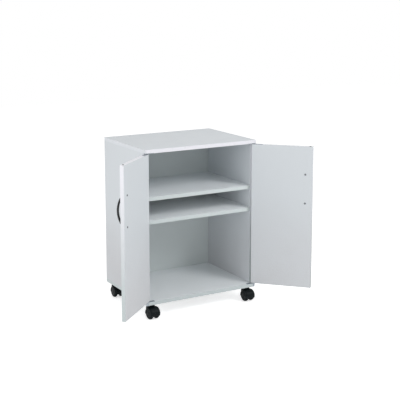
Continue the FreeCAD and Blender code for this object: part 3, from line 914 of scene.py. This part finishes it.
@dataclass
class BowHandle:
    """A bow handle that stands on a face: Z off the face, Y along the bow."""

    spacing: float = 0.128
    foot: float = 0.014
    projection: float = 0.028
    middle: float = 0.008
    width: float = 0.011
    waist: float = 0.90
    sections: int = 49
    points: int = 28
    squareness: float = 2.8
    crease: float = 50.0

    def arch(self, span: float, rise: float) -> list[Point]:
        """Points along an arc over the face: along the bow and off the face.

        Args:
            span: what the arc spans on the face.
            rise: its height over the face.

        Returns:
            The points.
        """
        radius = (span * span / 4 + rise * rise) / (2 * rise)
        reach = math.asin(span / 2 / radius)
        return arc((0.0, rise - radius), radius, QUARTER + reach, QUARTER - reach, self.sections - 1)

    def shape(self) -> Shape:
        """The whole bow, skinned over cross-sections between its outer and its inner arc."""
        outer = self.arch(self.spacing + self.foot, self.projection)
        inner = self.arch(self.spacing - self.foot, self.projection - self.middle)
        rings = []
        for index, (over, under) in enumerate(zip(outer, inner)):
            share = 2 * index / (self.sections - 1) - 1
            middle, thick = (Vector((0.0, *over)) + half * Vector((0.0, *under)) for half in (1, -1))
            narrow = self.width * (self.waist + (1 - self.waist) * share * share)
            ring = []
            for spot in arc((0.0, 0.0), 1.0, 0.0, math.tau, self.points)[:-1]:
                across, up = (math.copysign(abs(part) ** (2 / self.squareness), part) for part in spot)
                ring.append((middle + thick * up + Vector((across * narrow, 0.0, 0.0))) / 2)
            rings.append(ring)
        return loft(rings)


@dataclass
class Door:
    """One hinged door with its leaves, handle, screws and catch."""

    side: Side
    pivot_from_face: float = 0.007
    board: float = 0.016
    free_edge: float = 0.264
    handle_inset: float = 0.032
    handle_rise: float = 0.444
    handle_screw: float = 0.0042
    leaf_screw: float = 0.0026
    leaf_screw_reaches: Point = (0.0135, 0.0305)
    leaf_screw_depth: float = 0.0018
    handle: BowHandle = field(default_factory=BowHandle)

    @property
    def name(self) -> str:
        """The door's body and the start of its nodes' names."""
        return "left_door" if self.side is Side.LEFT else "right_door"

    def hung(self) -> Matrix:
        """The door's own frame: its pivot, with X along the closed door, and Z from its lower edge."""
        joint = joint_of(self.name)
        turn = -joint["axis"][2] * math.radians(joint["range_deg"][1])
        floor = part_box(self.name + "_edge_band")[0].z
        return at(*joint["pos_m"][:2], floor) @ spun(turn, "Z")

    def dress_nodes(self) -> None:
        """Give the door's board, band, leaves and magnet their finishes."""
        # The right door's band gets the darker copy of the edging: painted shade.
        edging = EDGING if self.side is Side.LEFT else SHADED_EDGING
        dress(LAMINATE, BOARD_ROUND, self.name + "_panel")
        dress(edging, BAND_ROUND, self.name + "_edge_band")
        dress(ZINC, METAL_ROUND, self.name + "_hinge_leaves")
        dress(SHADED_NICKEL, METAL_ROUND, self.name + "_catch_magnet")

    def fit_handle(self) -> None:
        """Stand the bow on the outer face, in place of its plain solid."""
        across = self.side.value * (self.free_edge - self.handle_inset)
        face = self.hung() @ at(across, -self.pivot_from_face, self.handle_rise) @ spun(QUARTER, "X")
        bow = self.handle.shape().piece(self.name + "_bow", face, [POLISHED_BLACK], self.handle.crease)
        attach(bow, self.name)
        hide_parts(self.name + "_handle")
        log.info("%s: bow of %d sections", bow.name, self.handle.sections)

    def fit_screws(self) -> None:
        """Screw the handle from the inner face, and the leaves to the door's ends."""
        hung, places, ends = self.hung(), [], []
        across = self.side.value * (self.free_edge - self.handle_inset)
        inner = self.board - self.pivot_from_face
        for up in (-1, 1):
            height = self.handle_rise + up * self.handle.spacing / 2
            places.append(hung @ at(across, inner, height) @ spun(-QUARTER, "X"))
        low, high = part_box(self.name + "_edge_band")
        for up, turn in ((0.0, math.pi), (high.z - low.z, 0.0)):
            for reach in self.leaf_screw_reaches:
                spot = at(self.side.value * reach, self.leaf_screw_depth, up)
                ends.append(hung @ spot @ spun(turn, "X"))
        handle_screw = Screw(self.handle_screw, Drive.PAN, BURNISHED)
        handle_screw.heads(self.name + "_handle_screws", places, self.name)
        Screw(self.leaf_screw, Drive.FLUSH).heads(self.name + "_leaf_screws", ends, self.name)

    def build(self) -> None:
        """Dress the whole door."""
        self.dress_nodes()
        self.fit_handle()
        self.fit_screws()


# Casters


@dataclass
class Wheel:
    """A nylon wheel with a tread, turned about Z, its outer face up."""

    radius: float = 0.025
    inside: float = 0.0086
    outside: float = 0.024
    shoulder: float = 0.009
    inner_shoulder: float = 0.0042
    bore: float = 0.00305
    bore_end: float = 0.0195
    rim: float = 0.0150
    dish: float = 0.0011
    hub: float = 0.0078
    groove: float = 0.0004
    land: float = 0.0005
    land_round: float = 0.0001
    rim_round: float = 0.0006
    rim_slope: float = 0.0012
    dish_round: float = 0.0004
    hub_slope: float = 0.0010
    hub_round: float = 0.0005
    hub_sunk: float = 0.0001
    round_steps: int = 7
    steps: int = 96

    def corners(self) -> list[Bend]:
        """The wheel's profile: height, radius and rounding of each corner."""
        low = self.inside + self.inner_shoulder + self.land
        high = self.outside - self.shoulder - self.land
        face, hub = self.outside - self.dish, self.outside - self.hub_sunk
        floor = self.radius - self.groove
        grooves = []
        for edge, step in ((low, self.groove), (high, -self.groove)):
            groove = [(edge, self.radius, 0), (edge, floor, 0), (edge + step, floor, 0)]
            groove.append((edge + step, self.radius, self.land_round))
            grooves += groove if step > 0 else groove[::-1]
        return [
            (self.bore_end, 0.0, 0),
            (self.bore_end, self.bore, 0),
            (self.inside, self.bore, 0),
            (self.inside, self.radius, self.inner_shoulder),
            *grooves,
            (self.outside, self.radius, self.shoulder),
            (self.outside, self.rim, self.rim_round),
            (face, self.rim - self.rim_slope, self.dish_round),
            (face, self.hub + self.hub_slope, self.dish_round),
            (hub, self.hub, self.hub_round),
            (hub, 0.0, 0),
        ]

    def shape(self) -> Shape:
        """The wheel, with its tread as a second finish."""
        outline = rounded(self.corners(), self.round_steps)
        tread_foot = self.radius - self.shoulder
        tread = [int(min(low[1], high[1]) > tread_foot) for low, high in zip(outline, outline[1:])]
        return lathe(outline, self.steps, tread)


@dataclass
class Hood:
    """The moulded hood over both wheels, with its web and the neck round the swivel pin.

    Its own frame has the swivel axis as Z, zero at the panel's underside, and the axle along X.
    """

    half: float = 0.024
    wheel_radius: float = 0.025
    shoulder: float = 0.009
    gap: float = 0.0008
    wall: float = 0.0017
    web: float = 0.0083
    web_round: float = 0.0015
    crown_share: float = 0.5
    skirt: float = 0.006
    rake: float = 4.0
    trail: float = 0.018
    drop: float = 0.038
    neck_width: float = 0.034
    neck_depth: float = 0.023
    neck_corner: float = 0.0055
    neck_edge: float = 0.0012
    neck_flare: float = 0.0018
    neck_top: float = 0.003
    neck_floor: float = 0.0305
    socket: float = 0.00405
    socket_end: float = 0.0275
    overrun: float = 0.01
    crease: float = 32.0
    web_steps: int = 5
    arc_steps: int = 8
    neck_steps: int = 4
    bore_steps: int = 40
    pocket_steps: int = 96
    steps: int = 72

    def half_outline(self) -> list[Point]:
        """The profile of one side, from the web's middle out to the crown: across and radius."""
        middle = self.half - self.shoulder
        pocket = self.shoulder + self.gap
        outer = pocket + self.wall
        base = self.wheel_radius - self.shoulder
        sunk = self.skirt * math.cos(math.radians(self.rake))
        low, high = math.acos(self.shoulder / pocket), math.acos(self.shoulder / outer)
        points = [(self.web, 0.0), (self.web, sunk)]
        inside = base + pocket
        web = ((self.web, sunk, 0), (self.web, inside, self.web_round), (middle, inside, 0))
        points += rounded(web, self.web_steps)[1:]
        points += arc((middle, base), pocket, QUARTER, low, self.arc_steps)[1:]
        points += arc((middle, base), outer, high, QUARTER, self.arc_steps)
        return points + [(middle * self.crown_share, base + outer)]

    def shell(self) -> Shape:
        """The shroud and its web, cut off flat along the rake below the axle."""
        half = self.half_outline()
        outline = half + [(-across, radius) for across, radius in reversed(half)]
        tilt = math.radians(self.rake)
        sunk = self.skirt * math.cos(tilt)
        place = at(0, -self.trail, -self.drop) @ spun(tilt, "X")
        shape = Shape()
        for across, radius in outline:
            dip = math.asin(min(1.0, sunk / radius)) if radius > 0 else QUARTER
            for spot in arc((0.0, 0.0), radius, -dip, math.pi + dip, self.steps):
                shape.points.append(place @ Vector((across, *spot)))
        row = self.steps + 1
        shape.skin(row, closed=False)
        rim = [index for index, point in enumerate(outline) if point[1] >= sunk]
        shape.face([index * row for index in rim] + [index * row + self.steps for index in reversed(rim)])
        return shape

    def neck_section(self, up: float, growth: float) -> list[Vector]:
        """A rounded rectangle round the swivel pin.

        Args:
            up: its height.
            growth: how far each side stands outside the neck's own size.

        Returns:
            Its points.
        """
        half, deep = self.neck_width / 2 + growth, self.neck_depth / 2 + growth
        signs = ((-1, -1), (1, -1), (1, 1), (-1, 1))
        corners = [(half * side, deep * end, self.neck_corner + growth) for side, end in signs]
        return [Vector((*spot, up)) for spot in rounded(corners, closed=True)]

    def neck_shape(self) -> Shape:
        """The neck: a block that flares into the shroud, with rounded ends."""
        edge, flare = self.neck_edge, self.neck_flare
        start, end = -self.neck_top - edge, edge - self.neck_floor
        profile = arc((start, -edge), edge, 0.0, QUARTER, self.neck_steps)
        for step in range(1, self.arc_steps + 1):
            share = step / self.arc_steps
            profile.append((start + (end - start) * share, flare * share * share * (3 - 2 * share)))
        profile += arc((end, flare - edge), edge, QUARTER, math.pi, self.neck_steps)[1:]
        return loft([self.neck_section(up, growth) for up, growth in profile])

    def axle_frame(self, sign: int) -> Matrix:
        """The frame of one wheel, with Z along the axle, outwards."""
        return at(0, -self.trail, -self.drop) @ spun(sign * QUARTER, "Y")

    def pattern(self) -> Item:
        """One finished hood, to be copied: shroud and neck, less the wheels' space and the pin's."""
        bore = drum(-self.socket_end, self.neck_edge - self.neck_top, self.socket, self.bore_steps)
        reach = self.wheel_radius + self.gap
        space = drum(self.web, self.half + self.overrun, reach, self.pocket_steps)
        neck = self.neck_shape().piece("hood_neck", Matrix(), [SATIN_BLACK])
        carve(neck, [space.piece("space", self.axle_frame(sign), [SATIN_BLACK]) for sign in (-1, 1)])
        hood = self.shell().piece("hood_shroud", Matrix(), [SATIN_BLACK])
        carve(hood, [neck], "UNION")
        return carve(hood, [bore.piece("bore", Matrix(), [SATIN_BLACK])], sharp=self.crease)


class Corner(Enum):
    """A caster's corner: the sign of X, the sign of Y."""

    FRONT_LEFT = (-1, -1)
    FRONT_RIGHT = (1, -1)
    REAR_LEFT = (-1, 1)
    REAR_RIGHT = (1, 1)


@dataclass
class Caster:
    """One swivel caster: hood, axle and two wheels."""

    corner: Corner
    hood: Hood
    wheel: Wheel = field(default_factory=Wheel)

    @property
    def name(self) -> str:
        """The start of the caster's names."""
        return self.corner.name.lower()

    def standing(self) -> Matrix:
        """The caster's own frame: its swivel axis, under the panel, turned as it stands."""
        swivel, roll = joint_of(self.name + "_caster"), joint_of(self.name + "_outer_wheel")
        turn = math.atan2(roll["axis"][1], roll["axis"][0])
        return at(*swivel["pos_m"][:2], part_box("bottom_panel")[0].z) @ spun(turn, "Z")

    def fit_hood(self, pattern: Item) -> None:
        """Copy the hood into place, instead of its plain solid.

        Args:
            pattern: the finished hood that is copied.
        """
        shroud = put(self.name + "_shroud", pattern.data.copy())
        shroud.data.name = shroud.name
        shroud.data.transform(self.standing())
        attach(shroud, self.name + "_caster")
        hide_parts(self.name + "_caster_hood")

    def fit_wheels(self) -> None:
        """Put both wheels on the axle, in place of their plain solids."""
        side = self.corner.value[0]
        for hand, sign in (("outer", side), ("inner", -side)):
            node = self.name + "_" + hand + "_wheel"
            axle = self.standing() @ self.hood.axle_frame(sign)
            tyre = self.wheel.shape().piece(node + "_tyre", axle, [SATIN_BLACK, TREAD_BLACK])
            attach(tyre, node)
            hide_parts(node)

    def build(self, pattern: Item) -> None:
        """Dress the caster.

        Args:
            pattern: the finished hood that this one's is copied from.
        """
        self.fit_hood(pattern)
        dress(TURNED, METAL_ROUND, self.name + "_axle")
        self.fit_wheels()
        log.info("%s: hood and two wheels", self.name)


@dataclass
class Undercarriage:
    """The four casters and the plates that hold them."""

    hood: Hood = field(default_factory=Hood)
    plate_round: float = 0.0004
    plate: float = 0.0025
    screw: float = 0.0031
    screw_place: float = 0.017

    def fit_screws(self, places: Sequence[Matrix]) -> None:
        """Screw the plates to the panel from below, at their four corners.

        Args:
            places: each caster's own frame.
        """
        ends = (-self.screw_place, self.screw_place)
        spots = [at(across, along, -self.plate) @ spun(math.pi, "X") for across in ends for along in ends]
        heads = [place @ spot for place in places for spot in spots]
        Screw(self.screw, Drive.PAN).heads("caster_plate_screws", heads, "cabinet")

    def build(self) -> None:
        """Dress the plates and build the casters."""
        dress(POWDER_BLACK, self.plate_round, "caster_plates")
        pattern = self.hood.pattern()
        casters = [Caster(corner, self.hood) for corner in Corner]
        for caster in casters:
            caster.build(pattern)
        bpy.data.meshes.remove(pattern.data)
        self.fit_screws([caster.standing() for caster in casters])


# Stage, light and camera


@dataclass
class Stage:
    """A pale floor and an even white surround."""

    floor_size: float = 14.0
    floor_colour: Colour = seen(240, 240, 240)
    floor_glow: float = 0.58
    sky: float = 0.60
    white: Colour = (1.0, 1.0, 1.0)

    def lay_floor(self) -> None:
        """Lay the floor: matt where it gives light, and glowing to white where it is looked at."""
        mesh = bpy.data.meshes.new("floor")
        reach = self.floor_size / 2
        corners = [(-reach, -reach, 0), (reach, -reach, 0), (reach, reach, 0), (-reach, reach, 0)]
        mesh.from_pydata(corners, [], [(0, 1, 2, 3)])
        floor = put("floor", mesh)
        skin = Network(bpy.data.materials.new("studio_floor"))
        skin.tree.nodes.clear()
        matt = skin.node("ShaderNodeBsdfDiffuse", {}, {"Color": self.floor_colour})
        glow = skin.node("ShaderNodeEmission", {}, {"Color": self.white, "Strength": self.floor_glow})
        bright = skin.node("ShaderNodeAddShader", {}, {0: matt, 1: glow})
        surface = skin.node("ShaderNodeMixShader", {}, {0: skin.background_rays(), 1: matt, 2: bright})
        skin.node("ShaderNodeOutputMaterial", {}, {"Surface": surface})
        mesh.materials.append(skin.owner)

    def hang_sky(self) -> None:
        """Surround the cart with even light, white where it is looked at."""
        sky = Network(bpy.data.worlds.new("studio"))
        sky.tree.nodes.clear()
        lit, looked_at = (
            sky.node("ShaderNodeBackground", {}, {"Color": self.white, "Strength": strength})
            for strength in (self.sky, 1.0)
        )
        surround = sky.node("ShaderNodeMixShader", {}, {0: sky.background_rays(), 1: lit, 2: looked_at})
        sky.node("ShaderNodeOutputWorld", {}, {"Surface": surround})
        bpy.context.scene.world = sky.owner

    def build(self) -> None:
        """Lay the floor and hang the sky."""
        self.lay_floor()
        self.hang_sky()
        log.info("stage: floor and sky")


@dataclass(frozen=True)
class Softbox:
    """A square lamp that faces a point of the cart and is never seen itself."""

    name: str
    place: Triple
    watts: float
    side: float
    aim: Triple = (0.0, -0.1, 0.4)

    def build(self) -> None:
        """Hang the lamp."""
        lamp = bpy.data.lights.new(self.name, "AREA")
        lamp.shape = "SQUARE"
        lamp.size = self.side
        lamp.energy = self.watts
        item = put(self.name, lamp)
        item.location = self.place
        item.visible_camera = False
        item.rotation_euler = (Vector(self.aim) - Vector(self.place)).to_track_quat("-Z", "Y").to_euler()
        log.info("%s: %.1f W", self.name, self.watts)


@dataclass(frozen=True)
class Viewpoint:
    """The camera's place, direction and lens."""

    place: Triple = (-2.0325, -3.6818, 1.3995)
    yaw: float = 30.133
    pitch: float = 9.842
    lens: float = 86.701
    sensor: float = 36.0
    shift: float = -0.12

    def build(self) -> None:
        """Set up the camera and the view's colours."""
        camera = bpy.data.cameras.new("camera")
        camera.lens = self.lens
        camera.sensor_width = self.sensor
        camera.shift_y = self.shift
        item = put("camera", camera)
        item.location = self.place
        item.rotation_euler = (math.radians(90 - self.pitch), 0.0, math.radians(-self.yaw))
        bpy.context.scene.camera = item
        bpy.context.scene.view_settings.view_transform = "Standard"
        log.info("camera: lens %.1f mm", self.lens)


SOFTBOXES = (
    Softbox("side_softbox", (-3.1, -1.0, 1.0), 27.5, 1.8),
    Softbox("high_softbox", (1.6, -2.8, 2.7), 48.0, 1.2),
)


def main() -> None:
    """Dress the cart, light it and set up its portrait."""
    logging.basicConfig(level=logging.INFO, format="%(message)s")
    Carcass().build()
    for side in Side:
        Door(side).build()
    Undercarriage().build()
    Stage().build()
    for lamp in SOFTBOXES:
        lamp.build()
    Viewpoint().build()


if __name__ == "__main__":
    main()
